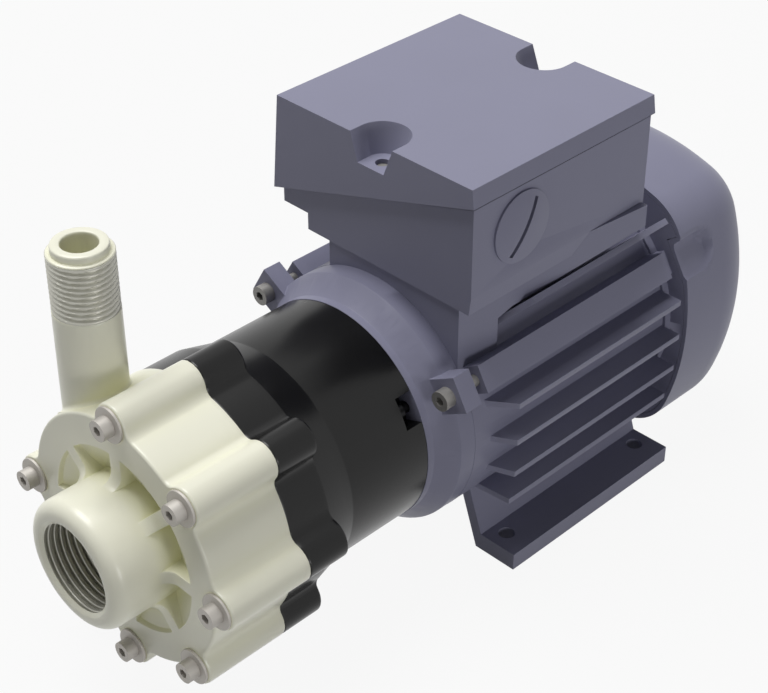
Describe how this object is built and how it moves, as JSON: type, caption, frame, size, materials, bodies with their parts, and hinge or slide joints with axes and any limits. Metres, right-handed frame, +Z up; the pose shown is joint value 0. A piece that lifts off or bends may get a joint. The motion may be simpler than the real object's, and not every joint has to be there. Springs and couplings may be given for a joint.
{
  "type": "centrifugal pump",
  "caption": "Close-coupled magnetic-drive centrifugal pump with plastic casing, black lantern bracket and finned foot-mounted motor with terminal box.",
  "frame": {"origin": "centre of the rectangle of the four foot holes, on the base plane under the feet", "axes": "+X along the shaft from the suction nose towards the fan cowl; +Y across the feet towards the discharge side; +Z up"},
  "size_m": [0.2806, 0.1092, 0.1536],
  "materials": {
    "casing_plastic": "semi-matt moulded, ivory",
    "black_plastic": "glossy black moulding",
    "motor_paint": "satin slate-grey paint on light alloy",
    "box_plastic": "satin slate grey to match the motor",
    "steel": "bright machined steel",
    "dark_steel": "black oxide steel",
    "cast": "machined casting",
    "aluminium": "die cast",
    "copper": "enamelled copper wire",
    "brass": "turned brass",
    "rubber": "moulded elastomer",
    "ceramic": "ground white ceramic",
    "board": "brown moulded insulating board"
  },
  "bodies": {
    "frame": {"pump_casing": "casing_plastic", "casing_screws": "steel", "casing_washers": "steel", "bracket_inserts": "brass", "containment_shell": "casing_plastic", "casing_seal": "rubber", "spindle": "ceramic", "thrust_ring": "ceramic", "bracket": "black_plastic", "bracket_screws": "dark_steel", "front_end_shield": "motor_paint", "front_shield_screws": "steel", "shaft_seal": "rubber", "rear_end_shield": "motor_paint", "rear_shield_screws": "steel", "wave_spring": "steel", "stator_housing": "motor_paint", "stator_core": "cast", "stator_winding": "copper", "front_bearing_outer_ring": "steel", "rear_bearing_outer_ring": "steel", "fan_cowl": "motor_paint", "terminal_box": "box_plastic", "lid_gasket": "rubber", "terminal_lid": "box_plastic", "lid_screws": "steel", "blanking_plug": "box_plastic", "plug_seal": "rubber", "terminal_board": "board", "terminal_studs": "brass", "terminal_nuts": "brass", "terminal_links": "brass"},
    "motor_rotor": {"shaft": "steel", "rotor_core": "cast", "rotor_cage": "aluminium", "front_bearing_inner_ring": "steel", "front_bearing_balls": "steel", "rear_bearing_inner_ring": "steel", "rear_bearing_balls": "steel", "shaft_key": "steel", "magnet_cup": "steel", "grub_screw": "dark_steel", "drive_magnets": "dark_steel", "fan": "black_plastic", "fan_clip": "dark_steel"},
    "impeller_rotor": {"impeller": "casing_plastic", "impeller_shroud": "casing_plastic", "impeller_bush": "board", "capsule_cap": "casing_plastic", "driven_yoke": "steel", "driven_magnets": "dark_steel"}
  },
  "joints": [
    {"name": "motor_spin", "type": "hinge", "parent": "frame", "child": "motor_rotor", "pos_m": [0, 0, 0.056], "axis": [1, 0, 0], "continuous": true},
    {"name": "impeller_spin", "type": "hinge", "parent": "frame", "child": "impeller_rotor", "pos_m": [-0.13, 0, 0.056], "axis": [1, 0, 0], "continuous": true}
  ],
  "couplings": [
    {"joint": "impeller_spin", "follows": "motor_spin", "ratio": 1}
  ]
}
